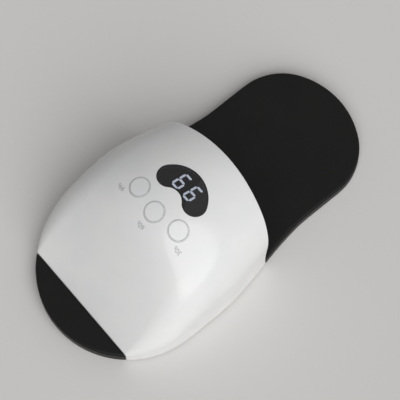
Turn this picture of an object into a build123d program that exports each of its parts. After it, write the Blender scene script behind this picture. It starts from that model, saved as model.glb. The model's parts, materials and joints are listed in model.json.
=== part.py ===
from build123d import *

import os
from math import atan2, cos, degrees, pi, radians, sin, sqrt, tan

# Hand and foot nail lamp. Millimetres, +Z up, the toe end of the plate points along +Y,
# the open mouth and the hand rest point along -Y. The origin is on the floor, at the middle
# of the plate's length and width.

os.makedirs("parts", exist_ok=True)

# Plan, seen from above; distances called back are measured from the dome's front edge
length = 290.0               # heel to toe
tunnel_half = 50.0           # half of the tunnel's width
side_room = 22.6             # from the tunnel to the widest part of the outline
rest_margin = 7.5            # the hand rest is this much wider than the tunnel, on each side
toe_show = 25.0              # toe of the plate in front of the dome
dome_length = 132.3          # front edge to the mouth, at the plate
shoulder_back = 76.0         # the sides start to draw in here
waist_back = 185.0           # and are narrowest from here
heel_corner_radius = 47.0
heel_end_bulge = 3.0         # the heel's end arc, past the two corners

# Heights
plate_bottom = 2.0           # lower rim of the base, lifted off the table by the feet
plate_depth = 10.0           # lower rim to the surface that the hand lies on
plate_skin = 2.2             # wall of the base moulding
plate_edge_round = 2.0
tunnel_height = 58.0         # plate to the tunnel's roof
roof_room = 23.0             # tunnel's roof to the dome's top

# Dome
wall = 2.5                   # wall of the outer shell
front_lip = 3.0              # height of the small upright step at the front edge
front_slope = 50.0           # degrees, the slope up from the front edge
brow_radius = 50.0           # rounds the slope into the top
rear_fall = 9.0              # the top line falls this much from its peak
rear_top_back = 148.0        # to this place above the mouth
corner_low, corner_high = 0.66, 0.55    # share of a section's rise in its corner arcs
crown_low, crown_high = 0.15, 0.09      # share of the rise in the crown between them
mouth_radius = 161.0         # the rim of the mouth is cut by a large cylinder across the lamp
mouth_axis_rise = 3.0        # its axis, above the plate
lip_round = 1.2
rim_round = 0.8

# Fits
body_gap = 0.3               # between upright faces of the dome and the base, which lift apart
skirt_gap = 0.5              # between the dome's skirt and the base inside it
fit = 0.2                    # between fixed mouldings
overlap = 1.0                # how deep a rib or boss grows into the wall that carries it

# Underside of the base
rib = 1.6
rib_gap = 1.0                # ribs stop this much above the rim
rib_pitch = 26.0
foot_radius = 7.0
foot_chamfer = 0.5
foot_wall = 1.8
foot_gap = 0.1
foot_recess = 1.0
foot_heel_rise = 33.0        # rear feet, from the heel end
foot_backs = (15.0, 117.0)   # the other feet
foot_inset = 19.0
magnet_radius = 4.0
magnet_thickness = 2.0
magnet_gap = 0.1
magnet_wall = 1.5
magnet_backs = (42.0, 106.0)
mirror_sheet = 0.5
mirror_margin = 1.5
mirror_corner = 6.0

# Tunnel that the hand or foot goes into
tunnel_corner = 28.5
tunnel_end_room = 12.0       # dome's front edge to the foot of the tunnel's sloping end
liner_wall = 1.5
frame_thickness = 3.0
bezel_recess = 1.0
bezel_depth = 3.0

# Control panel on the dome's top, measured forwards from the window's rearmost point
panel_back = 120.0
bean_radius = 27.5           # the display window's long convex edge
bean_lobe_radius = 9.7
bean_lobe_angle = 57.0       # degrees from the middle line to each lobe
bean_waist = 21.4            # its depth on the middle line
window_thickness = 1.5
window_ledge = 1.6
window_gap = 0.1
button_radius = 7.2
button_gap = 0.3
button_proud = 0.5
button_travel = 0.5
collar_width = 1.3           # collar under the shell that keeps the button in
collar_thickness = 1.0
side_button = (22.6, 40.0)
middle_button_y = 44.5

# Main board, its outline given by the corners of its right half
board = 1.6                  # thickness of every circuit board
board_level = 8.5            # liner's roof to the top of the main board
board_side = tunnel_half - 16.0
board_corners = ((board_side - 6.0, -8.0), (board_side, 2.0), (board_side, 36.0), (board_side - 16.0, 55.0))
board_round = 3.0
board_screws = ((board_side - 10.0, -4.0), (board_side - 21.5, 50.5))
display_size = (30.0, 16.0, 6.0)
display_y = 12.5
display_chamfer = 0.6
chip_size = (7.0, 7.0, 1.4)
chip_y = 27.5
driver_size = (4.0, 5.0, 1.5)
driver_places = ((-12.0, 34.0), (12.0, 34.0))
chip_chamfer = 0.3
coil_radius = 3.6
coil_height = 3.4
coil_place = (9.0 - board_side, 19.5)
capacitor_radius = 3.1
capacitor_height = 3.4
capacitor_pitch = 9.0
capacitor_place = (board_side - 9.0, 12.5)
can_round = 0.5
socket_size = (6.4, 5.0, 3.0)
socket_wall = 0.5
socket_pitch = 8.0
socket_numbers = (-2, -1, 1, 2)     # places in the row, 0 in the middle stays free
socket_y = -4.0
switch_size = 6.0
switch_height = 3.5
plunger_radius = 1.75
plunger_height = 0.8         # plunger above its switch at rest
plunger_gap = 0.15
stem_radius = 2.2

# LED panels: boards on posts of the liner, lenses through its holes
standoff = 1.5
post_radius = 2.7
post_edge = 4.0              # post to the end of its board
led_radius = 2.6
led_proud = 0.8              # lens tip past the liner's inner face
led_gap = 0.3
led_tip = 0.7                # share of the lens radius in its rounded tip
panel_round = 3.0
top_panel = (46.0, 64.0)
front_panel = (58.0, 30.0)
side_panel = (72.0, 22.0)
top_pitch = (11.0, 14.0)
front_pitch = (14.0, 14.0)
side_pitch = (16.0, 11.0)
top_shift = 3.0              # top panel, forwards of the middle of the tunnel's roof
front_rise = 26.7            # middle of the front panel, above the frame
side_rise = 14.2             # middle of the side panels, above the frame
side_back = 89.0

# Screws
screw_radius = 1.25
thread_gap = 0.05
head_radius = 2.3
head_height = 1.4
recess_length = 2.4          # the cross recess in each head
recess_width = 0.7
recess_depth = 0.9
head_wall = 0.6              # frame left between a screw head and the frame's edge
boss_radius = 4.0
boss_height = 18.0
board_boss_radius = 3.2
frame_screw_backs = (28.0, 80.0, 120.0)
frame_screw_length = 10.0
board_screw_length = 5.5
post_screw_length = 3.7
post_hole_depth = 2.3

# Power inlet, on the side that the photographed view hides
jack_back = 100.0
jack_rise = 13.0             # above the plate
jack_radius = 4.0
jack_gap = 0.15
jack_flange_radius = 5.2
jack_flange = 1.0
jack_depth = 12.0
jack_bore_radius = 2.8
jack_bore_depth = 9.5
jack_pin_radius = 1.0
jack_pin_recess = 0.8
jack_nut_radius = 6.0
jack_nut_thickness = 2.2

# Leads between the boards
lead_radius = 0.8
front_lead_x = -6.0

# Worked out from the sizes above
toe_radius = tunnel_half + side_room
waist_half = tunnel_half + rest_margin
heel_y = -length / 2
toe_centre_y = length / 2 - toe_radius
front_y = length / 2 - toe_show
shoulder_y = front_y - shoulder_back
waist_y = front_y - waist_back
heel_corner_y = heel_y + heel_end_bulge + heel_corner_radius
rear_top_y = front_y - rear_top_back
panel_y = front_y - panel_back
plate_top = plate_bottom + plate_depth
tunnel_top = plate_top + tunnel_height
dome_top = tunnel_top + roof_room
lip_z = plate_top + front_lip
slope = radians(front_slope)
brow_foot_z = dome_top - brow_radius * (1 - cos(slope))
brow_foot_y = front_y - (brow_foot_z - lip_z) / tan(slope)
peak_y = brow_foot_y - brow_radius * sin(slope)
mouth_front_y = front_y - dome_length
mouth_axis_y = mouth_front_y - mouth_radius
mouth_axis_z = plate_top + mouth_axis_rise
liner_half = tunnel_half + liner_wall
liner_top = tunnel_top + liner_wall
tunnel_front_y = front_y - tunnel_end_room
liner_foot_y = tunnel_front_y - liner_wall / sin(slope)
frame_bottom = plate_top     # the frame rests on the plate
frame_top = frame_bottom + frame_thickness
main_board_top = liner_top + board_level
board_under = main_board_top - board
under_dome = wall + skirt_gap
deep = plate_bottom - 5.0    # safely below everything, for cutting


def export(builder, name):
    builder.part.label = name
    export_step(builder.part, f"parts/{name}.step")


# Outline of the plate and of the dome's foot

def half_width(y, inset=0.0):
    """Half of the width at y: the toe's half circle, then a half cosine wave to the waist."""
    if y > toe_centre_y:
        return sqrt((toe_radius - inset) ** 2 - (y - toe_centre_y) ** 2)
    run = min(max((shoulder_y - y) / (shoulder_y - waist_y), 0.0), 1.0)
    return waist_half + (toe_radius - waist_half) * (1 + cos(pi * run)) / 2 - inset


def pair(y, inset):
    """Mirrored points at y, this far inside the outline."""
    x = half_width(y, inset)
    return [(x, y), (-x, y)]


def plan_outline(inset=0.0):
    """Face of the plate's outline, moved inwards by inset."""
    toe = toe_radius - inset
    side = [shoulder_y + (waist_y - shoulder_y) * i / 6 for i in range(7)]
    corner_x = waist_half - heel_corner_radius
    rise = heel_corner_y - heel_y
    end_radius = (corner_x**2 + rise**2 - heel_corner_radius**2) / (2 * (rise - heel_corner_radius))
    end_y = heel_y + end_radius
    join = degrees(atan2(heel_corner_y - end_y, corner_x))
    with BuildSketch() as outline:
        with BuildLine():
            CenterArc((0, toe_centre_y), toe, 0, 90)
            Line((toe, toe_centre_y), (toe, shoulder_y))
            Spline(*[(half_width(y, inset), y) for y in side], tangents=[(0, -1), (0, -1)])
            Line((waist_half - inset, waist_y), (waist_half - inset, heel_corner_y))
            CenterArc((corner_x, heel_corner_y), heel_corner_radius - inset, 0, join)
            CenterArc((0, end_y), end_radius - inset, join, -90 - join)
            mirror(about=Plane.YZ)
        make_face()
    return outline.sketch


def plan_block(inset, low, high):
    """The outline raised from one height to another."""
    with BuildPart() as block:
        with BuildSketch(Plane.XY.offset(low)):
            add(plan_outline(inset))
        extrude(amount=high - low)
    return block.part


def box_between(low, high):
    """A box given by two opposite corners."""
    with BuildPart() as block:
        with Locations(low):
            Box(*[b - a for a, b in zip(low, high)], align=(Align.MIN,) * 3)
    return block.part


# Dome: cross sections of a basket-handle arch, lofted from the front edge to past the mouth

def top_line(y):
    """Height of the dome's middle line at y, and its slope as an angle."""
    if y > brow_foot_y:
        return lip_z + (front_y - y) * tan(slope), slope
    if y > peak_y:
        over = y - peak_y
        drop = sqrt(brow_radius**2 - over**2)
        return dome_top - brow_radius + drop, atan2(over, drop)
    back = (peak_y - y) / (peak_y - rear_top_y)
    return dome_top - rear_fall * back**2, atan2(2 * rear_fall * back, peak_y - rear_top_y)


def dome_section(y, inset, bottom):
    """Arch of one cross section: upright walls, corner arcs and a crown arc, all tangent."""
    height, angle = top_line(y)
    height -= inset / cos(angle)
    half = half_width(y, inset)
    rise = height - plate_top
    full = rise / (dome_top - plate_top)
    corner = rise * (corner_low + (corner_high - corner_low) * full)
    crown = rise * (crown_low + (crown_high - crown_low) * full)
    spring = height - corner - crown
    inner = half - corner
    above = height - spring
    crown_radius = (inner**2 + above**2 - corner**2) / (2 * (above - corner))
    turn = degrees(atan2(spring - height + crown_radius, inner))
    with BuildSketch() as section:
        with BuildLine():
            Line((0, bottom), (half, bottom))
            Line((half, bottom), (half, spring))
            CenterArc((inner, spring), corner, 0, turn)
            CenterArc((0, height - crown_radius), crown_radius, turn, 90 - turn)
            mirror(about=Plane.YZ)
        make_face()
    return section.sketch


def dome_form(inset, bottom):
    """The dome as a solid, its surface moved inwards by inset."""
    front = front_y - inset / sin(slope)
    rear = mouth_axis_y + sqrt(mouth_radius**2 - (dome_top - mouth_axis_z) ** 2) - 4
    stations = [front, front - 6, front - 14, front - 26, brow_foot_y, (brow_foot_y + peak_y) / 2 + 4]
    stations += [peak_y + (rear - peak_y) * i / 4 for i in range(5)]
    with BuildPart() as form:
        for y in stations:
            with BuildSketch(Plane.XZ.offset(-y)):
                add(dome_section(y, inset, bottom))
        loft()
    return form.part


def mouth_cut(grow=0.0):
    """Everything behind the rim of the mouth, a cylinder across the lamp."""
    with BuildPart() as cut:
        with BuildSketch(Plane.YZ):
            with Locations((mouth_axis_y, mouth_axis_z)):
                Circle(mouth_radius + grow)
        extrude(amount=length / 2, both=True)
    return cut.part


def mouth_y(z):
    """Where the rim of the mouth is at height z."""
    return mouth_axis_y + sqrt(mouth_radius**2 - (z - mouth_axis_z) ** 2)


def tunnel_form(inset, low):
    """Arched tunnel along Y, its sloping front end parallel to the dome's slope."""
    half = liner_half - inset
    top = liner_top - inset
    front = tunnel_front_y - inset / sin(slope) - (low - frame_top) / tan(slope)
    rear = mouth_y(dome_top) - 4
    with BuildPart() as form:
        with BuildSketch(Plane.XZ.offset(-rear)):
            with Locations((0, (low + top) / 2)):
                arch = Rectangle(2 * half, top - low)
            fillet(arch.vertices().group_by(Axis.Y)[-1], tunnel_corner + liner_wall - inset)
        extrude(amount=rear - front)
        with BuildSketch(Plane.YZ):
            with BuildLine():
                Polyline((front, low), (front + 1, low), (front + 1, top + 1),
                         (front - (top + 1 - low) / tan(slope), top + 1), close=True)
            make_face()
        extrude(amount=half + 1, both=True, mode=Mode.SUBTRACT)
    return form.part


def bean(inset=0.0):
    """Outline of the display window: a bean, its hollow side towards the buttons."""
    outer_y = panel_y + bean_radius
    reach = bean_radius - bean_lobe_radius
    lobe_x = reach * sin(radians(bean_lobe_angle))
    lobe_y = outer_y - reach * cos(radians(bean_lobe_angle))
    hollow = panel_y + bean_waist
    level = hollow - bean_lobe_radius
    inner_y = (lobe_x**2 + lobe_y**2 - level**2) / (2 * (lobe_y - level))
    towards = degrees(atan2(inner_y - lobe_y, -lobe_x))
    start = bean_lobe_angle - 90
    with BuildSketch() as outline:
        with BuildLine():
            CenterArc((0, outer_y), bean_radius - inset, -90, bean_lobe_angle)
            CenterArc((lobe_x, lobe_y), bean_lobe_radius - inset, start, towards - start)
            CenterArc((0, inner_y), inner_y - hollow + inset, towards - 180, 90 - towards)
            mirror(about=Plane.YZ)
        make_face()
    return outline.sketch


def raised(part, height):
    return part.moved(Location((0, 0, height)))


outer_form = dome_form(0.0, plate_bottom)
inner_form = dome_form(wall, plate_bottom - 1)
cavity_form = dome_form(wall + fit, frame_bottom)

# Places that several pieces share
screw_inset = wall + fit + head_wall + fit + head_radius
frame_screw_places = [p for back in frame_screw_backs for p in pair(front_y - back, screw_inset)]
magnet_places = [p for y in [front_y - back for back in magnet_backs]
                 for p in pair(y, (wall + half_width(y) - tunnel_half) / 2)]
foot_ys = [heel_y + foot_heel_rise] + [front_y - back for back in foot_backs]
foot_places = [p for y in foot_ys for p in pair(y, foot_inset)]
board_screw_places = [(side * x, panel_y + y) for side in (-1, 1) for x, y in board_screws]
button_places = {"left": (-side_button[0], panel_y + side_button[1]),
                 "middle": (0.0, panel_y + middle_button_y),
                 "right": (side_button[0], panel_y + side_button[1])}


# Base: plate with a hollow, ribbed underside, rebated all round for the dome's skirt

step_y = front_y + body_gap
toe_zone = box_between((-length, step_y, deep), (length, length, dome_top))

with BuildPart() as skirt_room:
    add(plan_block(-1.0, deep, plate_top + 1))
    add(plan_block(under_dome, deep, plate_top + 1), mode=Mode.SUBTRACT)
    add(mouth_cut(-skirt_gap), mode=Mode.SUBTRACT)
    add(toe_zone, mode=Mode.SUBTRACT)

with BuildPart() as ribs:
    with BuildSketch(Plane.XY.offset(plate_bottom + rib_gap)):
        with GridLocations(rib_pitch, rib_pitch, 2 * int(toe_radius / rib_pitch) + 1, 1):
            Rectangle(rib, length)
        with GridLocations(rib_pitch, rib_pitch, 1, 2 * int(length / 2 / rib_pitch) + 1):
            Rectangle(2 * toe_radius, rib)
    extrude(amount=plate_top - plate_skin / 2 - plate_bottom - rib_gap)
    add(plan_block(under_dome + overlap, deep, plate_top), mode=Mode.INTERSECT)

with BuildPart() as base_tray:
    add(plan_block(0.0, plate_bottom, plate_top))
    fillet(base_tray.faces().sort_by(Axis.Z)[-1].edges(), plate_edge_round)
    add(skirt_room.part, mode=Mode.SUBTRACT)
    add(plan_block(under_dome + plate_skin, deep, plate_top - plate_skin), mode=Mode.SUBTRACT)
    add(ribs.part)
    with BuildSketch(Plane.XY.offset(plate_bottom)):
        with Locations(*foot_places):
            Circle(foot_radius + foot_wall)
    extrude(amount=plate_top - plate_skin / 2 - plate_bottom)
    with BuildSketch(Plane.XY.offset(plate_bottom)):
        with Locations(*foot_places):
            Circle(foot_radius + foot_gap)
    extrude(amount=foot_recess, mode=Mode.SUBTRACT)
    with BuildSketch(Plane.XY.offset(plate_top - plate_skin - magnet_thickness)):
        with Locations(*magnet_places):
            Circle(magnet_radius + magnet_gap + magnet_wall)
    extrude(amount=magnet_thickness + plate_skin / 2)
    with BuildSketch(Plane.XY.offset(deep)):
        with Locations(*magnet_places):
            Circle(magnet_radius + magnet_gap)
    extrude(amount=plate_top - plate_skin - deep, mode=Mode.SUBTRACT)
    with BuildSketch(Plane.XY.offset(plate_top - mirror_sheet - fit / 2)):
        with Locations((0, (mouth_front_y + liner_foot_y) / 2)):
            RectangleRounded(2 * (tunnel_half - mirror_margin) + fit,
                             liner_foot_y - mouth_front_y - 2 * mirror_margin + fit, mirror_corner)
    extrude(amount=plate_top, mode=Mode.SUBTRACT)
export(base_tray, "base_tray")

with BuildPart() as mirror_plate:
    with BuildSketch(Plane.XY.offset(plate_top - mirror_sheet - fit / 2)):
        with Locations((0, (mouth_front_y + liner_foot_y) / 2)):
            RectangleRounded(2 * (tunnel_half - mirror_margin),
                             liner_foot_y - mouth_front_y - 2 * mirror_margin,
                             mirror_corner - fit / 2)
    extrude(amount=mirror_sheet)
export(mirror_plate, "mirror_plate")

with BuildPart() as rubber_feet:
    with BuildSketch():
        with Locations(*foot_places):
            Circle(foot_radius)
    extrude(amount=plate_bottom + foot_recess)
    chamfer(rubber_feet.faces().group_by(Axis.Z)[0].edges(), foot_chamfer)
export(rubber_feet, "rubber_feet")

with BuildPart() as base_magnets:
    with BuildSketch(Plane.XY.offset(plate_top - plate_skin - magnet_thickness)):
        with Locations(*magnet_places):
            Circle(magnet_radius)
    extrude(amount=magnet_thickness)
export(base_magnets, "base_magnets")


# Power inlet, square to the shell's wall where it stands

jack_y = front_y - jack_back
jack_run = (shoulder_y - jack_y) / (shoulder_y - waist_y)
jack_lean = (toe_radius - waist_half) / 2 * sin(pi * jack_run) * pi / (shoulder_y - waist_y)
jack_plane = Plane(origin=(half_width(jack_y), jack_y, plate_top + jack_rise),
                   x_dir=(jack_lean, 1, 0), z_dir=(1, -jack_lean, 0))

with BuildPart() as dc_jack:
    with BuildSketch(jack_plane.offset(jack_gap)):
        Circle(jack_flange_radius)
    extrude(amount=jack_flange)
    with BuildSketch(jack_plane.offset(jack_gap)):
        Circle(jack_radius)
    extrude(amount=-jack_depth)
    with BuildSketch(jack_plane.offset(jack_gap + jack_flange)):
        Circle(jack_bore_radius)
    extrude(amount=-jack_bore_depth, mode=Mode.SUBTRACT)
export(dc_jack, "dc_jack")

with BuildPart() as jack_pin:
    with BuildSketch(jack_plane.offset(jack_gap + jack_flange - jack_bore_depth)):
        Circle(jack_pin_radius)
    extrude(amount=jack_bore_depth - jack_pin_recess)
export(jack_pin, "jack_pin")

with BuildPart() as jack_nut:
    with BuildSketch(jack_plane.offset(-wall - fit)):
        RegularPolygon(jack_nut_radius, 6)
        Circle(jack_radius + jack_gap, mode=Mode.SUBTRACT)
    extrude(amount=-jack_nut_thickness)
export(jack_nut, "jack_nut")


# Outer shell: one white moulding, open below and at the mouth

with BuildPart() as window_room:
    with BuildSketch(Plane.XY.offset(main_board_top)):
        add(bean())
    extrude(amount=dome_top)
    add(raised(outer_form, -window_thickness), mode=Mode.SUBTRACT)

with BuildPart() as board_bosses:
    with BuildSketch(Plane.XY.offset(main_board_top)):
        with Locations(*board_screw_places):
            Circle(board_boss_radius)
    extrude(amount=dome_top)
    add(raised(inner_form, wall / 2), mode=Mode.INTERSECT)

with BuildPart() as frame_bosses:
    with BuildSketch(Plane.XY.offset(frame_top)):
        with Locations(*frame_screw_places):
            Circle(boss_radius)
    extrude(amount=boss_height)
    add(raised(inner_form, wall / 2), mode=Mode.INTERSECT)

with BuildPart() as outer_shell:
    add(outer_form)
    arch = outer_shell.faces().sort_by(Axis.Y)[-1].edges()
    fillet(arch.filter_by(lambda edge: edge.center().Z > plate_top), lip_round)
    split(bisect_by=Plane.YZ, keep=Keep.BOTTOM)
    mirror(about=Plane.YZ)
    add(inner_form, mode=Mode.SUBTRACT)
    add(plan_block(wall + fit, deep, frame_bottom), mode=Mode.SUBTRACT)
    add(mouth_cut(), mode=Mode.SUBTRACT)
    rim_face = max(outer_shell.faces().filter_by(GeomType.CYLINDER), key=lambda face: face.area)
    fillet(rim_face.edges().filter_by(lambda edge: edge.length > 4 * wall), rim_round)
    split(bisect_by=Plane.YZ, keep=Keep.TOP)
    mirror(about=Plane.YZ)
    add(board_bosses.part)
    add(frame_bosses.part)
    with BuildSketch(Plane.XY.offset(main_board_top)):
        with Locations(*board_screw_places):
            Circle(screw_radius + thread_gap)
    extrude(amount=board_screw_length - board, mode=Mode.SUBTRACT)
    with BuildSketch(Plane.XY.offset(frame_top)):
        with Locations(*frame_screw_places):
            Circle(screw_radius + thread_gap)
    extrude(amount=frame_screw_length, mode=Mode.SUBTRACT)
    add(window_room.part, mode=Mode.SUBTRACT)
    with BuildSketch(Plane.XY.offset(main_board_top)):
        add(bean(window_ledge))
        with Locations(*button_places.values()):
            Circle(button_radius + button_gap)
    extrude(amount=dome_top, mode=Mode.SUBTRACT)
    with BuildSketch(jack_plane.offset(wall)):
        Circle(jack_radius + jack_gap)
    extrude(amount=-3 * wall, mode=Mode.SUBTRACT)
export(outer_shell, "outer_shell")

with BuildPart() as display_window:
    with BuildSketch(Plane.XY.offset(main_board_top)):
        add(bean(window_gap))
    extrude(amount=dome_top)
    add(outer_form, mode=Mode.INTERSECT)
    add(raised(outer_form, -window_thickness), mode=Mode.SUBTRACT)
export(display_window, "display_window")


# Buttons: each cap follows the dome's surface, its collar lies under the shell

for name, place in button_places.items():
    with BuildPart() as collar:
        with BuildSketch(Plane.XY.offset(main_board_top)):
            with Locations(place):
                Circle(button_radius + collar_width)
        extrude(amount=dome_top)
        add(raised(inner_form, -fit), mode=Mode.INTERSECT)
    with BuildPart() as button:
        with BuildSketch(Plane.XY.offset(main_board_top)):
            with Locations(place):
                Circle(button_radius)
        extrude(amount=dome_top)
        add(raised(outer_form, button_proud), mode=Mode.INTERSECT)
        add(collar.part)
        add(raised(inner_form, -fit - collar_thickness), mode=Mode.SUBTRACT)
        with BuildSketch(Plane.XY.offset(main_board_top + switch_height + plunger_height)):
            with Locations(place):
                Circle(stem_radius)
        extrude(until=Until.NEXT)
    export(button, f"button_{name}")

    with BuildPart() as plunger:
        with BuildSketch(Plane.XY.offset(main_board_top + switch_height - 2 * button_travel)):
            with Locations(place):
                Circle(plunger_radius)
        extrude(amount=2 * button_travel + plunger_height)
    export(plunger, f"switch_plunger_{name}")

with BuildPart() as switch_bodies:
    with BuildSketch(Plane.XY.offset(main_board_top)):
        with Locations(*button_places.values()):
            Rectangle(switch_size, switch_size)
    extrude(amount=switch_height)
    with BuildSketch(Plane.XY.offset(main_board_top + switch_height)):
        with Locations(*button_places.values()):
            Circle(plunger_radius + plunger_gap)
    extrude(amount=-4 * button_travel, mode=Mode.SUBTRACT)
export(switch_bodies, "switch_bodies")


# Main board under the panel, with the display, the controller and the power parts

with BuildPart() as main_board:
    with BuildSketch(Plane.XY.offset(board_under)):
        with BuildLine():
            right = [(x, panel_y + y) for x, y in board_corners]
            Polyline(*right, *[(-x, y) for x, y in reversed(right)], close=True)
        edge = make_face()
        fillet(edge.vertices(), board_round)
        with Locations(*board_screw_places):
            Circle(screw_radius + fit, mode=Mode.SUBTRACT)
    extrude(amount=board)
export(main_board, "main_board")

with BuildPart() as main_board_screws:
    with BuildSketch(Plane.XY.offset(board_under)):
        with Locations(*board_screw_places):
            Circle(head_radius)
    extrude(amount=-head_height)
    fillet(main_board_screws.faces().group_by(Axis.Z)[0].edges(), head_height / 2)
    with BuildSketch(Plane.XY.offset(board_under)):
        with Locations(*board_screw_places):
            Circle(screw_radius)
    extrude(amount=board_screw_length - fit)
    with BuildSketch(Plane.XY.offset(board_under - head_height)):
        with Locations(*board_screw_places):
            Rectangle(recess_length, recess_width)
            Rectangle(recess_width, recess_length)
    extrude(amount=recess_depth, mode=Mode.SUBTRACT)
export(main_board_screws, "main_board_screws")

upwards = (Align.CENTER, Align.CENTER, Align.MIN)

with BuildPart() as display_module:
    with Locations((0, panel_y + display_y, main_board_top)):
        Box(*display_size, align=upwards)
    chamfer(display_module.edges().filter_by(Axis.Z), display_chamfer)
export(display_module, "display_module")

with BuildPart() as control_chip:
    with Locations((0, panel_y + chip_y, main_board_top)):
        Box(*chip_size, align=upwards)
    chamfer(control_chip.edges().filter_by(Axis.Z), chip_chamfer)
export(control_chip, "control_chip")

with BuildPart() as driver_chips:
    with Locations(*[(x, panel_y + y, main_board_top) for x, y in driver_places]):
        Box(*driver_size, align=upwards)
    chamfer(driver_chips.edges().filter_by(Axis.Z), chip_chamfer)
export(driver_chips, "driver_chips")

with BuildPart() as power_coil:
    with Locations((coil_place[0], panel_y + coil_place[1], main_board_top)):
        Cylinder(coil_radius, coil_height, align=upwards)
    chamfer(power_coil.faces().sort_by(Axis.Z)[-1].edges(), can_round)
export(power_coil, "power_coil")

with BuildPart() as capacitors:
    with Locations((capacitor_place[0], panel_y + capacitor_place[1], main_board_top)):
        with GridLocations(0, capacitor_pitch, 1, 2):
            Cylinder(capacitor_radius, capacitor_height, align=upwards)
    fillet(capacitors.faces().group_by(Axis.Z)[-1].edges(), can_round)
export(capacitors, "capacitors")

with BuildPart() as lead_sockets:
    socket_row = panel_y + socket_y
    inside = [size - 2 * socket_wall for size in socket_size]
    with Locations(*[(n * socket_pitch, socket_row, main_board_top) for n in socket_numbers]):
        Box(*socket_size, align=upwards)
        with Locations((0, -socket_wall, socket_wall)):
            Box(inside[0], socket_size[1], inside[2], align=upwards, mode=Mode.SUBTRACT)
export(lead_sockets, "lead_sockets")


# LED panels: a board on two or four posts of the liner, its lenses through the liner's holes

top_y = (tunnel_front_y - (liner_top - frame_top) / tan(slope) + mouth_y(liner_top)) / 2 + top_shift
front_panel_z = frame_top + front_rise
front_panel_y = tunnel_front_y - front_rise / tan(slope)
side_y = front_y - side_back
side_z = frame_top + side_rise
panels = {
    "top": (Plane(origin=(0, top_y, liner_top), x_dir=(0, 1, 0), z_dir=(0, 0, 1)),
            top_panel[::-1], top_pitch[::-1], (4, 4)),
    "front": (Plane(origin=(0, front_panel_y, front_panel_z), x_dir=(1, 0, 0),
                    z_dir=(0, sin(slope), cos(slope))), front_panel, front_pitch, (4, 2)),
    "left": (Plane(origin=(-liner_half, side_y, side_z), x_dir=(0, -1, 0), z_dir=(-1, 0, 0)),
             side_panel, side_pitch, (4, 2)),
    "right": (Plane(origin=(liner_half, side_y, side_z), x_dir=(0, 1, 0), z_dir=(1, 0, 0)),
              side_panel, side_pitch, (4, 2)),
}


def post_spots(size):
    """The two posts of a panel, near the ends of its first side."""
    reach = size[0] / 2 - post_edge
    return [(-reach, 0), (reach, 0)]


with BuildPart() as inner_liner:
    add(tunnel_form(0.0, frame_top))
    add(tunnel_form(liner_wall, frame_top - 1), mode=Mode.SUBTRACT)
    add(mouth_cut(bezel_recess), mode=Mode.SUBTRACT)
    for plane, size, pitch, count in panels.values():
        with BuildSketch(plane):
            with Locations(*post_spots(size)):
                Circle(post_radius)
        extrude(amount=standoff)
        with BuildSketch(plane.offset(standoff)):
            with Locations(*post_spots(size)):
                Circle(screw_radius + thread_gap)
        extrude(amount=-post_hole_depth, mode=Mode.SUBTRACT)
        with BuildSketch(plane):
            with GridLocations(*pitch, *count):
                Circle(led_radius + led_gap)
        extrude(amount=-2 * liner_wall, mode=Mode.SUBTRACT)
export(inner_liner, "inner_liner")

for name, (plane, size, pitch, count) in panels.items():
    with BuildPart() as led_board:
        with BuildSketch(plane.offset(standoff)):
            RectangleRounded(*size, panel_round)
            with Locations(*post_spots(size)):
                Circle(screw_radius + fit, mode=Mode.SUBTRACT)
        extrude(amount=board)
    export(led_board, f"led_board_{name}")

    with BuildPart() as lenses:
        with BuildSketch(plane.offset(standoff)):
            with GridLocations(*pitch, *count):
                Circle(led_radius)
        extrude(amount=-standoff - liner_wall - led_proud)
        tips = lenses.faces().filter_by(lambda face: face.normal_at().dot(plane.z_dir) < -0.9)
        fillet(tips.edges(), led_radius * led_tip)
    export(lenses, f"led_lenses_{name}")

with BuildPart() as led_board_screws:
    for plane, size, pitch, count in panels.values():
        with BuildSketch(plane.offset(standoff + board)):
            with Locations(*post_spots(size)):
                Circle(head_radius)
        extrude(amount=head_height)
        with BuildSketch(plane.offset(standoff + board)):
            with Locations(*post_spots(size)):
                Circle(screw_radius)
        extrude(amount=-post_screw_length)
        with BuildSketch(plane.offset(standoff + board + head_height)):
            with Locations(*post_spots(size)):
                Rectangle(recess_length, recess_width)
                Rectangle(recess_width, recess_length)
        extrude(amount=-recess_depth, mode=Mode.SUBTRACT)
export(led_board_screws, "led_board_screws")


# Leads, from their sockets over the rear edge of the main board to the LED panels and the inlet;
# the front panel is fed from the top one

lead_z = main_board_top + socket_size[2] / 2
rear_y = panel_y + board_corners[0][1]
lead_lift = standoff + board + lead_radius + fit
over_panel = liner_top + lead_lift
beside_panel = liner_half + lead_lift
front_plane = panels["front"][0].offset(lead_lift)
front_lead_end = front_plane.from_local_coords(Vector(front_lead_x, front_panel[1] / 2 - 3.0, 0.0))
jack_rear = jack_plane.offset(jack_gap - jack_depth - lead_radius).origin


def from_socket(number):
    """The first points of a lead, inside and behind the socket with this number."""
    x = number * socket_pitch
    return [(x, rear_y + 4.0, lead_z), (x, rear_y, lead_z)]


def lead_along(points, tangents=()):
    """A round lead whose middle line goes through the points."""
    with BuildPart() as lead:
        with BuildLine():
            path = Spline(*points, tangents=tangents)
        with BuildSketch(Plane(origin=path @ 0, z_dir=path % 0)):
            Circle(lead_radius)
        sweep(path=path)
    return lead.part


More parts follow.
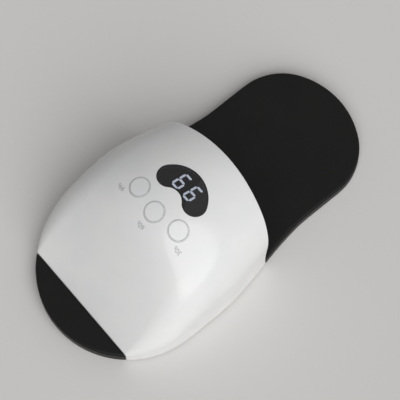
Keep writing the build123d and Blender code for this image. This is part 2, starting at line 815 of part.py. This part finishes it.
side_lead = from_socket(1) + [
    (socket_pitch + 4.0, rear_y - 6.0, lead_z - 2.5),
    (liner_half - 25.5, rear_y - 7.5, lead_z - 6.0),
    (liner_half - 10.5, rear_y - 5.5, lead_z - 13.5),
    (liner_half + 0.5, rear_y - 2.5, lead_z - 24.5),
    (liner_half + 4.7, rear_y + 1.5, lead_z - 35.5),
    (beside_panel, side_y - side_panel[0] / 2 + 4.0, side_z + side_panel[1] / 2 - 3.0),
]
top_lead = from_socket(-2) + [
    (-2 * socket_pitch, rear_y - 2.8, (lead_z + over_panel) / 2),
    (-2 * socket_pitch, top_y - top_panel[1] / 2 + 2.0, over_panel + fit),
    (-2 * socket_pitch, top_y - top_panel[1] / 2 + 5.0, over_panel),
]
front_lead = [
    (front_lead_x, top_y + top_panel[1] / 2 - 2.0, over_panel),
    (front_lead_x, top_y + top_panel[1] / 2 + 1.0, over_panel - 0.1),
    (front_lead_x, brow_foot_y - 4.0, over_panel - 5.3),
    tuple(front_lead_end),
]
inlet_lead = from_socket(2) + [
    (2 * socket_pitch + 6.0, rear_y - 2.5, lead_z - 2.5),
    (liner_half - 16.5, rear_y + 3.0, lead_z - 5.0),
    (liner_half - 6.5, rear_y + 11.0, lead_z - 12.0),
    (liner_half + 2.0, rear_y + 18.0, lead_z - 25.0),
    (liner_half + 6.3, jack_y - 3.0, lead_z - 42.0),
    (jack_rear.X - 0.2, jack_rear.Y, jack_rear.Z + 6.0),
    (jack_rear.X, jack_rear.Y, jack_rear.Z),
]

with BuildPart() as led_leads:
    add(lead_along(side_lead))
    add(lead_along([(-x, y, z) for x, y, z in side_lead]))
    add(lead_along(top_lead, [(0, -1, 0), (0, 1, 0)]))
    add(lead_along(front_lead, [(0, 1, 0), (0, cos(slope), -sin(slope))]))
export(led_leads, "led_leads")

with BuildPart() as power_lead:
    add(lead_along(inlet_lead))
export(power_lead, "power_lead")


# Bezel that closes the gap between shell and liner round the mouth

with BuildPart() as mouth_bezel:
    add(cavity_form)
    add(tunnel_form(-fit, frame_top), mode=Mode.SUBTRACT)
    add(box_between((-tunnel_half, heel_y, deep), (tunnel_half, length, frame_top)), mode=Mode.SUBTRACT)
    add(mouth_cut(bezel_recess), mode=Mode.SUBTRACT)
    add(mouth_cut(bezel_recess + bezel_depth), mode=Mode.INTERSECT)
export(mouth_bezel, "mouth_bezel")


# Bottom frame, a U that closes the dome from below; it holds the magnets and takes the screws

with BuildPart() as bottom_frame:
    add(cavity_form)
    add(plan_block(wall, frame_bottom, frame_top), mode=Mode.INTERSECT)
    add(box_between((-tunnel_half, heel_y, deep), (tunnel_half, liner_foot_y, dome_top)),
        mode=Mode.SUBTRACT)
    add(box_between((-length, front_y - wall / sin(slope) - 3 * fit, deep), (length, length, dome_top)),
        mode=Mode.SUBTRACT)
    add(mouth_cut(bezel_recess + bezel_depth + fit), mode=Mode.SUBTRACT)
    with BuildSketch(Plane.XY.offset(frame_bottom)):
        with Locations(*magnet_places):
            Circle(magnet_radius + magnet_gap)
    extrude(amount=magnet_thickness, mode=Mode.SUBTRACT)
    with BuildSketch(Plane.XY.offset(frame_bottom)):
        with Locations(*frame_screw_places):
            Circle(head_radius + fit)
    extrude(amount=head_height + fit, mode=Mode.SUBTRACT)
    with BuildSketch(Plane.XY.offset(frame_bottom)):
        with Locations(*frame_screw_places):
            Circle(screw_radius + fit)
    extrude(amount=frame_thickness, mode=Mode.SUBTRACT)
export(bottom_frame, "bottom_frame")

with BuildPart() as shell_magnets:
    with BuildSketch(Plane.XY.offset(frame_bottom)):
        with Locations(*magnet_places):
            Circle(magnet_radius)
    extrude(amount=magnet_thickness)
export(shell_magnets, "shell_magnets")

with BuildPart() as frame_screws:
    with BuildSketch(Plane.XY.offset(frame_bottom + fit)):
        with Locations(*frame_screw_places):
            Circle(head_radius)
    extrude(amount=head_height)
    with BuildSketch(Plane.XY.offset(frame_bottom + fit)):
        with Locations(*frame_screw_places):
            Circle(screw_radius)
    extrude(amount=head_height + frame_screw_length - fit)
    with BuildSketch(Plane.XY.offset(frame_bottom + fit)):
        with Locations(*frame_screw_places):
            Rectangle(recess_length, recess_width)
            Rectangle(recess_width, recess_length)
    extrude(amount=recess_depth, mode=Mode.SUBTRACT)
export(frame_screws, "frame_screws")
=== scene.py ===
import json
import math

import bpy
import numpy as np
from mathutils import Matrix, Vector


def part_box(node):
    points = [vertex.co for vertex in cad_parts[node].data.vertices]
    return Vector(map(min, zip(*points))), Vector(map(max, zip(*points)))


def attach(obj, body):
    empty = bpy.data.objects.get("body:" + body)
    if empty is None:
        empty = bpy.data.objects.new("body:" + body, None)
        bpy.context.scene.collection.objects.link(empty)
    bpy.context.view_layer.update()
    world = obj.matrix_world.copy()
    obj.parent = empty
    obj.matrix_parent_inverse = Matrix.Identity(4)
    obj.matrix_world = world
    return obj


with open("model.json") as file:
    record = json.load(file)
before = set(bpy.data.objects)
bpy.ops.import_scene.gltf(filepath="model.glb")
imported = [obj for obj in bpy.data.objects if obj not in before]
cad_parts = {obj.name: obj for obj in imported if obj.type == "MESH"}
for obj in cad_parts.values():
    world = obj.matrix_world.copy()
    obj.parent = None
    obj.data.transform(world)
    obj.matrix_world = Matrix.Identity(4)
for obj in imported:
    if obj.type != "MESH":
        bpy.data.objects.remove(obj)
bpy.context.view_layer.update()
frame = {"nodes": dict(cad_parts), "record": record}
print("frame loaded:", len(frame["nodes"]), "nodes")

mm = 0.001


# shader helpers

pattern = {
    "span": (0.35, 0.65),   # the noise hardly leaves this range, so a pattern's two ends are set here
    "patchDetail": 3.0,     # octaves of a broad patch
    "grainDetail": 2.0,     # and of a fine grain
    "grainFalloff": 0.55,   # how strong each finer octave is
}


def linear(code, alpha=1.0):
    # sRGB hex such as "c0ffee" to the linear colour that the shaders want
    parts = [int(code[i:i + 2], 16) / 255 for i in (0, 2, 4)]
    return tuple(p / 12.92 if p <= 0.04045 else ((p + 0.055) / 1.055) ** 2.4 for p in parts) + (alpha,)


def addNode(owner, kind, values=None, links=None, **settings):
    # one node in a material's or world's tree, with its settings, socket values and incoming links
    node = owner.node_tree.nodes.new("ShaderNode" + kind)
    for name, value in settings.items():
        setattr(node, name, value)
    for socket, value in (values or {}).items():
        node.inputs[socket].default_value = value
    for socket, source in (links or {}).items():
        owner.node_tree.links.new(source, node.inputs[socket])
    return node


def newMaterial(name, values):
    # a Principled material; constants sit on the shader's own sockets
    mat = bpy.data.materials.new(name)
    mat.use_nodes = True
    mat.node_tree.nodes.clear()
    shader = addNode(mat, "BsdfPrincipled", values)
    addNode(mat, "OutputMaterial", links={"Surface": shader.outputs[0]})
    return mat, shader


def noiseOf(mat, size, values):
    # noise on Object coordinates whose cells are size mm across
    place = addNode(mat, "TexCoord")
    scale = 1.0 / (size * mm)
    sized = addNode(mat, "Mapping", {"Scale": (scale, scale, scale)}, {"Vector": place.outputs["Object"]})
    return addNode(mat, "TexNoise", {"Scale": 1.0, **values}, {"Vector": sized.outputs[0]})


def grain(mat, shader, size, depth):
    # fine moulded grain as bump, depth mm deep
    noise = noiseOf(mat, size, {"Detail": pattern["grainDetail"], "Roughness": pattern["grainFalloff"]})
    bump = addNode(mat, "Bump", {"Strength": 1.0, "Distance": depth * mm}, {"Height": noise.outputs["Fac"]})
    mat.node_tree.links.new(bump.outputs[0], shader.inputs["Normal"])


def varyGloss(mat, shader, roughness, size):
    # lets the roughness drift between two values over patches size mm across, as handled surfaces do
    noise = noiseOf(mat, size, {"Detail": pattern["patchDetail"]})
    low, high = pattern["span"]
    ramp = addNode(mat, "MapRange", {"From Min": low, "From Max": high, "To Min": roughness[0],
                                     "To Max": roughness[1]}, {"Value": noise.outputs["Fac"]})
    mat.node_tree.links.new(ramp.outputs[0], shader.inputs["Roughness"])


def varyColour(mat, shader, codes, size):
    # the same drift between two close colours
    noise = noiseOf(mat, size, {"Detail": pattern["patchDetail"]})
    ramp = addNode(mat, "ValToRGB", links={"Fac": noise.outputs["Fac"]})
    for stop, position, code in zip(ramp.color_ramp.elements, pattern["span"], codes):
        stop.position = position
        stop.color = linear(code)
    mat.node_tree.links.new(ramp.outputs[0], shader.inputs["Base Color"])


def finish(slot, mat):
    # dress every CAD node that takes the record's slot
    for part in frame["record"]["subparts"]:
        if part["material_slot"] == slot:
            node = frame["nodes"][part["node"]]
            node.data.materials.clear()
            node.data.materials.append(mat)


# materials, one for each slot of the record

patches = {                 # mm across
    "plasticColour": 35.0,
    "plasticGloss": 18.0,
    "metalColour": 6.0,
    "metalGloss": 5.0,      # times the size of the metal's marks
}
plasticIor = 1.53


def mouldedPlastic(name, codes, roughness, grainSize, grainDepth, gloss):
    # injection moulded plastic: nearly even colour, fine tool grain, faint patches where it was handled
    mat, shader = newMaterial(name, {"IOR": plasticIor, "Specular IOR Level": gloss})
    varyColour(mat, shader, codes, patches["plasticColour"])
    varyGloss(mat, shader, roughness, patches["plasticGloss"])
    grain(mat, shader, grainSize, grainDepth)
    return mat


def platedMetal(name, codes, roughness, markSize, markDepth):
    # metal with fine turning or plating marks; the slight roughness drift breaks up its reflections
    mat, shader = newMaterial(name, {"Metallic": 1.0})
    varyColour(mat, shader, codes, patches["metalColour"])
    varyGloss(mat, shader, roughness, patches["metalGloss"] * markSize)
    grain(mat, shader, markSize, markDepth)
    return mat


def clearPlastic(name, code, ior, transmission, roughness, patch):
    # cast or polished clear plastic, tinted through, with a faint drift of its polish
    mat, shader = newMaterial(name, {"Base Color": linear(code), "IOR": ior,
                                     "Transmission Weight": transmission})
    varyGloss(mat, shader, roughness, patch)
    return mat


# name, two close colours, roughness from and to, grain size and depth in mm, specular level
plastics = {
    # glossy ABS from a polished tool: long soft reflections, a barely waved surface
    "white_abs": ("glossyWhiteAbs", ("eceded", "f1f1f0"), (0.16, 0.2), 9.0, 0.002, 0.5),
    # the same plastic on the separate caps, moulded a little glossier
    "button_white": ("glossyButtonAbs", ("eaebec", "efefef"), (0.14, 0.18), 5.0, 0.002, 0.5),
    # ABS with an eroded tool texture, drawn coarser and deeper than the real 0.2 mm so that it shows:
    # an even, dull black with hardly any sheen
    "black_abs": ("texturedBlackAbs", ("0d0c0b", "100f0e"), (0.42, 0.47), 1.0, 0.12, 0.15),
    # the same texture in pale grey, on the bezel round the mouth and the frame below
    "grey_abs": ("texturedGreyAbs", ("cfcfce", "d6d6d5"), (0.4, 0.46), 0.8, 0.015, 0.4),
    # moulded rubber feet: dull, with no reflection of anything
    "silicone": ("mattSilicone", ("141414", "1b1b1b"), (0.62, 0.7), 0.6, 0.02, 0.3),
    # screen printed solder mask: an even half gloss, slightly waved over the copper
    "board_white": ("whiteSolderMask", ("dfe0dc", "e6e7e3"), (0.3, 0.36), 1.5, 0.01, 0.5),
    "board_green": ("greenSolderMask", ("0e3b1f", "124626"), (0.28, 0.34), 1.5, 0.01, 0.5),
    # filled resin bodies of chips, switches and the inlet: a fine, even mould texture
    "part_black": ("mouldedComponent", ("151515", "1c1c1d"), (0.35, 0.45), 0.5, 0.01, 0.4),
    # uncoloured nylon: a soft, waxy half gloss
    "socket_ivory": ("nylonSocket", ("d9d3be", "e0dac6"), (0.4, 0.48), 0.6, 0.008, 0.5),
    "plunger_beige": ("nylonPlunger", ("c9bfa8", "d0c7b0"), (0.4, 0.48), 0.6, 0.008, 0.5),
    # extruded vinyl: soft sheen along the lead
    "lead_grey": ("vinylSheath", ("3c3d40", "434448"), (0.38, 0.46), 1.0, 0.01, 0.5),
}
# name, two close colours, roughness from and to, mark size and depth in mm
metals = {
    # bright plating over turned or punched steel
    "nickel": ("nickelPlate", ("c3c1ba", "ccc9c3"), (0.16, 0.26), 0.5, 0.002),
    # zinc plated screws: duller and bluer
    "steel": ("zincPlatedSteel", ("b1b3b5", "bdbfc1"), (0.28, 0.38), 0.4, 0.002),
    # turned brass: warm, with a soft ring of light
    "brass": ("turnedBrass", ("d3b36c", "dbbd79"), (0.2, 0.3), 0.3, 0.002),
    # drawn aluminium can: satin, lighter than the screws
    "capacitor_can": ("sleevedAluminium", ("b9bcc0", "c3c6ca"), (0.22, 0.3), 0.6, 0.002),
    # vacuum metallised ABS: bright, its reflections softly drawn out by the moulding under the metal
    "liner_silver": ("metallisedLiner", ("dfe0e1", "e4e5e6"), (0.15, 0.18), 12.0, 0.002),
    # mirror film glued to a sheet: nearly flat, with the film's slight ripple
    "mirror_sheet": ("mirrorFilm", ("e2e3e4", "e6e7e8"), (0.05, 0.07), 14.0, 0.001),
}
# name, colour, IOR, transmission, roughness from and to, size in mm of its patches
clears = {
    # smoked acrylic: polished and nearly black, so that only the lit digits show through it
    "smoked_acrylic": ("smokedAcrylic", "3c3d40", 1.49, 1.0, (0.02, 0.05), 12.0),
    # clear epoxy lens with a faint violet cast from the chip
    "led_lens": ("epoxyLens", "e9e8f6", 1.5, 0.9, (0.05, 0.12), 2.0),
}
for makeMaterial, table in ((mouldedPlastic, plastics), (platedMetal, metals), (clearPlastic, clears)):
    for slotName, values in table.items():
        finish(slotName, makeMaterial(*values))
print("materials done")


# pieces that lie on the CAD nodes

def meshArrays(name):
    # points of a CAD node, and the three corner numbers of each of its triangles
    mesh = frame["nodes"][name].data
    points = np.zeros(len(mesh.vertices) * 3)
    mesh.vertices.foreach_get("co", points)
    mesh.calc_loop_triangles()
    corners = np.zeros(len(mesh.loop_triangles) * 3, dtype=int)
    mesh.loop_triangles.foreach_get("vertices", corners)
    return points.reshape(-1, 3), corners.reshape(-1, 3)


def trianglesOf(name):
    # the same as one array of triangle, corner, axis
    points, corners = meshArrays(name)
    return points[corners]


def heightsOn(triangles, xy, leastArea=1e-12, slack=1e-6):
    # z of the highest triangle over each point, or -1 where there is none: in plan the point is
    # start + u * first + v * second, first and second being the triangle's edges from its start,
    # and it lies inside where u, v and 1 - u - v aren't negative
    plan = triangles[:, :, :2]
    near = ((plan.max(axis=1) >= xy.min(axis=0)) & (plan.min(axis=1) <= xy.max(axis=0))).all(axis=1)
    start = triangles[near, 0]
    first = triangles[near, 1] - start
    second = triangles[near, 2] - start
    area = first[:, 0] * second[:, 1] - first[:, 1] * second[:, 0]
    start, first, second, area = (row[area > leastArea] for row in (start, first, second, area))
    out = xy[:, None, :] - start[:, :2]
    u = (out[..., 0] * second[:, 1] - out[..., 1] * second[:, 0]) / area
    v = (first[:, 0] * out[..., 1] - first[:, 1] * out[..., 0]) / area
    inside = (u >= -slack) & (v >= -slack) & (u + v <= 1 + slack)
    return np.where(inside, start[:, 2] + u * first[:, 2] + v * second[:, 2], -1.0).max(axis=1)


def newPiece(name, points, faces, mat):
    # a finished piece of the dome: its place is in its mesh, its object stays at the origin
    mesh = bpy.data.meshes.new(name)
    mesh.from_pydata(points.tolist(), [], faces)
    mesh.materials.append(mat)
    mesh.validate()
    made = bpy.data.objects.new(name, mesh)
    bpy.context.scene.collection.objects.link(made)
    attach(made, "dome")


# display digits: lit segments on the display module's face, seen through the smoked window

digits = {
    "shown": "99",
    "height": 14.2,         # mm, the common size of such displays
    "width": 8.0,
    "stroke": 1.7,
    "gap": 0.22,            # between neighbouring segments
    "slant": 8.0,           # degrees
    "pitch": 12.7,
    "proud": 0.04,          # above the module's face
    "lit": ("e6edf5", 11.0),    # colour and strength; the smoked window takes most of it
    "unlit": ("16181b", 0.0),
    "roughness": (0.35, 0.45),
    "patch": 4.0,
}
segmentsOf = {"0": "abcdef", "1": "bc", "2": "abged", "3": "abgcd", "4": "fgbc", "5": "afgcd",
              "6": "afgedc", "7": "abc", "8": "abcdefg", "9": "abcdfg"}


def segmentOutlines(values):
    # the seven segments of one digit, centred on the origin, before the slant: each is a hexagon from
    # start to end, its corners half a stroke in from both ends and half a stroke to either side
    h, w, t = values["height"] / 2, values["width"] / 2, values["stroke"] / 2
    inH, inW = h - t, w - t
    ends = {"a": ((-inW, inH), (inW, inH)), "b": ((inW, inH), (inW, 0)), "c": ((inW, 0), (inW, -inH)),
            "d": ((-inW, -inH), (inW, -inH)), "e": ((-inW, 0), (-inW, -inH)),
            "f": ((-inW, inH), (-inW, 0)), "g": ((-inW, 0), (inW, 0))}
    outlines = {}
    for key, (start, end) in ends.items():
        start, end = np.array(start), np.array(end)
        along = (end - start) / np.linalg.norm(end - start)
        side = np.array([-along[1], along[0]])
        start, end = start + along * values["gap"], end - along * values["gap"]
        outlines[key] = np.array([start, start + along * t + side * t, end - along * t + side * t,
                                  end, end - along * t - side * t, start + along * t - side * t])
    return outlines


def digitPieces(values):
    # all lit segments in one piece, the unlit ones in another
    low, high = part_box("display_module")
    middle = (low + high) / 2
    outlines = segmentOutlines(values)
    lean = math.tan(math.radians(values["slant"]))
    sets = {"lit": [], "unlit": []}
    for place, digit in enumerate(values["shown"]):
        shift = (place - (len(values["shown"]) - 1) / 2) * values["pitch"]
        for key, outline in outlines.items():
            flat = outline.copy()
            flat[:, 0] += flat[:, 1] * lean + shift
            sets["lit" if key in segmentsOf[digit] else "unlit"].append(flat)
    for state, group in sets.items():
        points = np.concatenate(group) * mm
        z = np.full(len(points), high.z + values["proud"] * mm)
        points = np.column_stack([points[:, 0] + middle.x, points[:, 1] + middle.y, z])
        faces = np.arange(len(points)).reshape(-1, 6)[:, ::-1].tolist()
        code, strength = values[state]
        mat, shader = newMaterial(f"{state}Segment", {
            "Base Color": linear(code), "Emission Color": linear(code), "Emission Strength": strength})
        varyGloss(mat, shader, values["roughness"], values["patch"])
        newPiece(f"digits_{state}", points, faces, mat)


digitPieces(digits)
print("display done")


# printed ink on the shell: a ring round each button and the timer numbers beside them

prints = {
    "colour": "a4a6a9",
    "ior": 1.5,
    "roughness": (0.35, 0.45),
    "patch": 6.0,           # mm
    "lift": 0.03,           # mm of ink above the plastic
    "ringInner": 7.95,
    "ringOuter": 8.35,
    "ringSteps": 96,
    "textSize": 5.0,
    # where each number's middle lies, beside its button, in mm from the middle of the plate
    "numbers": {"30s": (-33.0, 49.5), "60s": (0.0, 58.0), "99s": (33.0, 49.5)},
}
# pad printed ink: thin, half gloss, the same grey in rings and numbers
ink, inkShader = newMaterial("padPrintInk", {"Base Color": linear(prints["colour"]), "IOR": prints["ior"]})
varyGloss(ink, inkShader, prints["roughness"], prints["patch"])


def ringPiece(values, shell):
    # each ring is a grid of two circles by ringSteps angles, laid on the shell from above
    steps = values["ringSteps"]
    angle = np.linspace(0, 2 * math.pi, steps, endpoint=False)
    index = np.arange(steps)
    points, faces = [], []
    for place, side in enumerate(("left", "middle", "right")):
        low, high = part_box(f"button_{side}")
        centre = (low + high) / 2
        for radius in (values["ringInner"], values["ringOuter"]):
            xy = np.column_stack([centre.x + radius * mm * np.cos(angle),
                                  centre.y + radius * mm * np.sin(angle)])
            points.append(np.column_stack([xy, heightsOn(shell, xy) + values["lift"] * mm]))
        inner = place * 2 * steps + index
        outer = inner + steps
        faces.append(np.column_stack([inner, outer, np.roll(outer, -1), np.roll(inner, -1)]))
    newPiece("button_rings", np.concatenate(points), np.concatenate(faces).tolist(), ink)


def numberPiece(text, place, values, shell):
    # flat text made a mesh, then each of its points is dropped onto the shell
    curve = bpy.data.curves.new("number", "FONT")
    curve.body = text
    curve.size = values["textSize"] * mm
    curve.align_x, curve.align_y = "CENTER", "CENTER"
    holder = bpy.data.objects.new("number", curve)
    bpy.context.scene.collection.objects.link(holder)
    bpy.context.view_layer.update()
    flat = bpy.data.meshes.new_from_object(holder)
    bpy.data.objects.remove(holder)
    points = np.zeros(len(flat.vertices) * 3)
    flat.vertices.foreach_get("co", points)
    xy = points.reshape(-1, 3)[:, :2] + np.array(place) * mm
    points = np.column_stack([xy, heightsOn(shell, xy) + values["lift"] * mm])
    newPiece(f"print_{text}", points, [list(p.vertices) for p in flat.polygons], ink)


shellTriangles = trianglesOf("outer_shell")
ringPiece(prints, shellTriangles)
for text, place in prints["numbers"].items():
    numberPiece(text, place, prints, shellTriangles)
print("prints done")


# tape that holds the window on the shell's ledge: a dark rim under the smoked acrylic

tape = {
    "depths": (1.3, 2.0),   # mm below the window's top, where the ledge lies
    "lift": 0.15,           # mm above the ledge
    "decimals": 7,          # of a metre, to which the triangles' shared corners agree
    "colour": "0c0c0d",
    "specular": 0.2,
    "roughness": (0.7, 0.8),
    "patch": 2.0,
}
# acrylic foam tape: dull black from every side
foam, foamShader = newMaterial("blackFoamTape", {"Base Color": linear(tape["colour"]),
                                                 "Specular IOR Level": tape["specular"]})
varyGloss(foam, foamShader, tape["roughness"], tape["patch"])


def tapePiece(values, shell):
    # the shell's upward triangles whose centres lie within the stated depths under the window's top
    window = trianglesOf("display_window")
    shallow, deep = np.array(values["depths"]) * mm
    upward = np.cross(shell[:, 1] - shell[:, 0], shell[:, 2] - shell[:, 0])[:, 2] > 0
    centre = shell.mean(axis=1)
    low, high = window.min(axis=(0, 1)), window.max(axis=(0, 1))
    near = upward & ((centre > low - deep) & (centre < high)).all(axis=1)
    depth = heightsOn(window, centre[near, :2]) - centre[near, 2]
    corners = shell[near][(depth > shallow) & (depth < deep)].reshape(-1, 3)
    points, index = np.unique(corners.round(values["decimals"]), axis=0, return_inverse=True)
    points[:, 2] += values["lift"] * mm
    newPiece("window_tape", points, index.reshape(-1, 3).tolist(), foam)


tapePiece(tape, shellTriangles)
print("tape done")


# LED chips: a small square of phosphor behind each lens, on the lens's flat base

chips = {
    "side": 1.3,            # mm
    "proud": 0.3,           # mm in front of the board
    "decimals": 3,          # to which the normals of one flat face agree
    "colour": "d8c24a",
    "roughness": (0.4, 0.55),
    "patch": 1.0,
}
# phosphor in clear resin: a dull yellow square when it isn't lit
phosphor, phosphorShader = newMaterial("phosphorChip", {"Base Color": linear(chips["colour"])})
varyGloss(phosphor, phosphorShader, chips["roughness"], chips["patch"])


def looseShells(points, corners):
    # the separate closed shells of a mesh: each point takes the lowest label that its edges reach
    ends = corners[:, [0, 1, 1, 2, 2, 0]].reshape(-1, 2)
    label = np.arange(len(points))
    while True:
        before = label.copy()
        lowest = label[ends].min(axis=1)
        np.minimum.at(label, ends[:, 0], lowest)
        np.minimum.at(label, ends[:, 1], lowest)
        if (label == before).all():
            return label


def chipPiece(side, values):
    # base of a lens = its triangles that share the commonest normal n, summed by area;
    # chip corners = base centre - proud * n +- side / 2 along two directions across n,
    # the first of them square to Y as well, or to X where n leans towards Y
    points, corners = meshArrays(f"led_lenses_{side}")
    triangles = points[corners]
    lensOf = looseShells(points, corners)[corners[:, 0]]
    normals = np.cross(triangles[:, 1] - triangles[:, 0], triangles[:, 2] - triangles[:, 0])
    areas = np.linalg.norm(normals, axis=1) / 2
    normals /= 2 * areas[:, None]
    centres = triangles.mean(axis=1)
    half = values["side"] / 2 * mm
    places = []
    for lens in np.unique(lensOf):
        mine = lensOf == lens
        keys, group = np.unique(normals[mine].round(values["decimals"]), axis=0, return_inverse=True)
        weights = np.bincount(group.ravel(), areas[mine])
        normal = keys[weights.argmax()]
        flat = group.ravel() == weights.argmax()
        middle = np.average(centres[mine][flat], axis=0, weights=areas[mine][flat])
        middle -= normal * values["proud"] * mm
        across = np.cross(normal, (0.0, 1.0, 0.0) if abs(normal[1]) < 0.5 else (1.0, 0.0, 0.0))
        across *= half / np.linalg.norm(across)
        other = np.cross(normal, across)
        places += [middle + across + other, middle + across - other,
                   middle - across - other, middle - across + other]
    faces = np.arange(len(places)).reshape(-1, 4).tolist()
    newPiece(f"led_chips_{side}", np.array(places), faces, phosphor)


for side in ("top", "front", "left", "right"):
    chipPiece(side, chips)
print("chips done")


# studio: pale floor and soft lamps

studio = {
    "floorColour": "dedcda",
    "floorRoughness": 0.9,
    "floorSpecular": 0.2,
    "floorReach": 4.0,      # m to each side
    "air": 0.12,            # light from all round
    "backdrop": 0.62,       # what the camera, gloss and glass see beyond the floor
    "lamps": {              # direction from the object, width of the source in degrees, W per square metre
        "key": ((-1.0, 0.4, 1.2), 75.0, 2.3),
        "fill": ((-0.7, -1.0, 0.9), 85.0, 0.3),
    },
}


def makeStudio(values):
    reach = values["floorReach"]
    mesh = bpy.data.meshes.new("floor")
    corners = [(-reach, -reach, 0), (reach, -reach, 0), (reach, reach, 0), (-reach, reach, 0)]
    mesh.from_pydata(corners, [], [(0, 1, 2, 3)])
    paper = newMaterial("palePaper", {"Base Color": linear(values["floorColour"]),
                                      "Roughness": values["floorRoughness"],
                                      "Specular IOR Level": values["floorSpecular"]})
    mesh.materials.append(paper[0])
    floor = bpy.data.objects.new("floor", mesh)
    bpy.context.scene.collection.objects.link(floor)

    world = bpy.data.worlds.new("studioAir")
    bpy.context.scene.world = world
    world.use_nodes = True
    world.node_tree.nodes.clear()
    rays = addNode(world, "LightPath")
    seen = addNode(world, "Math", links={0: rays.outputs["Is Camera Ray"], 1: rays.outputs["Is Glossy Ray"]},
                   operation="MAXIMUM")
    seen = addNode(world, "Math", links={0: seen.outputs[0], 1: rays.outputs["Is Transmission Ray"]},
                   operation="MAXIMUM")
    strength = addNode(world, "MapRange", {"To Min": values["air"], "To Max": values["backdrop"]},
                       {"Value": seen.outputs[0]})
    back = addNode(world, "Background", {"Color": (1, 1, 1, 1)}, {"Strength": strength.outputs[0]})
    addNode(world, "OutputWorld", links={"Surface": back.outputs[0]})

    for name, (direction, spread, power) in values["lamps"].items():
        lamp = bpy.data.lights.new(name, "SUN")
        lamp.angle = math.radians(spread)
        lamp.energy = power
        holder = bpy.data.objects.new(name, lamp)
        holder.location = direction
        holder.rotation_euler = (-Vector(direction)).to_track_quat("-Z", "Y").to_euler()
        bpy.context.scene.collection.objects.link(holder)


makeStudio(studio)

# camera at the printed picture's own angle, through a long lens

view = {
    "azimuth": 230.0,       # degrees
    "elevation": 71.0,
    "lens": 200.0,          # mm
    "frameWidth": 0.31,     # m across the picture at the object
    "aim": (0.0, 0.0, 0.035),
}


def makeCamera(values):
    azimuth, elevation = math.radians(values["azimuth"]), math.radians(values["elevation"])
    back = Vector((math.sin(azimuth) * math.cos(elevation), -math.cos(azimuth) * math.cos(elevation),
                   math.sin(elevation)))
    data = bpy.data.cameras.new("camera")
    data.lens = values["lens"]
    camera = bpy.data.objects.new("camera", data)
    away = values["frameWidth"] * values["lens"] / data.sensor_width
    camera.location = Vector(values["aim"]) + back * away
    camera.rotation_mode = "QUATERNION"
    camera.rotation_quaternion = (-back).to_track_quat("-Z", "Y")
    bpy.context.scene.collection.objects.link(camera)
    bpy.context.scene.camera = camera


makeCamera(view)
bpy.context.scene.view_settings.view_transform = "Standard"
print("studio done")
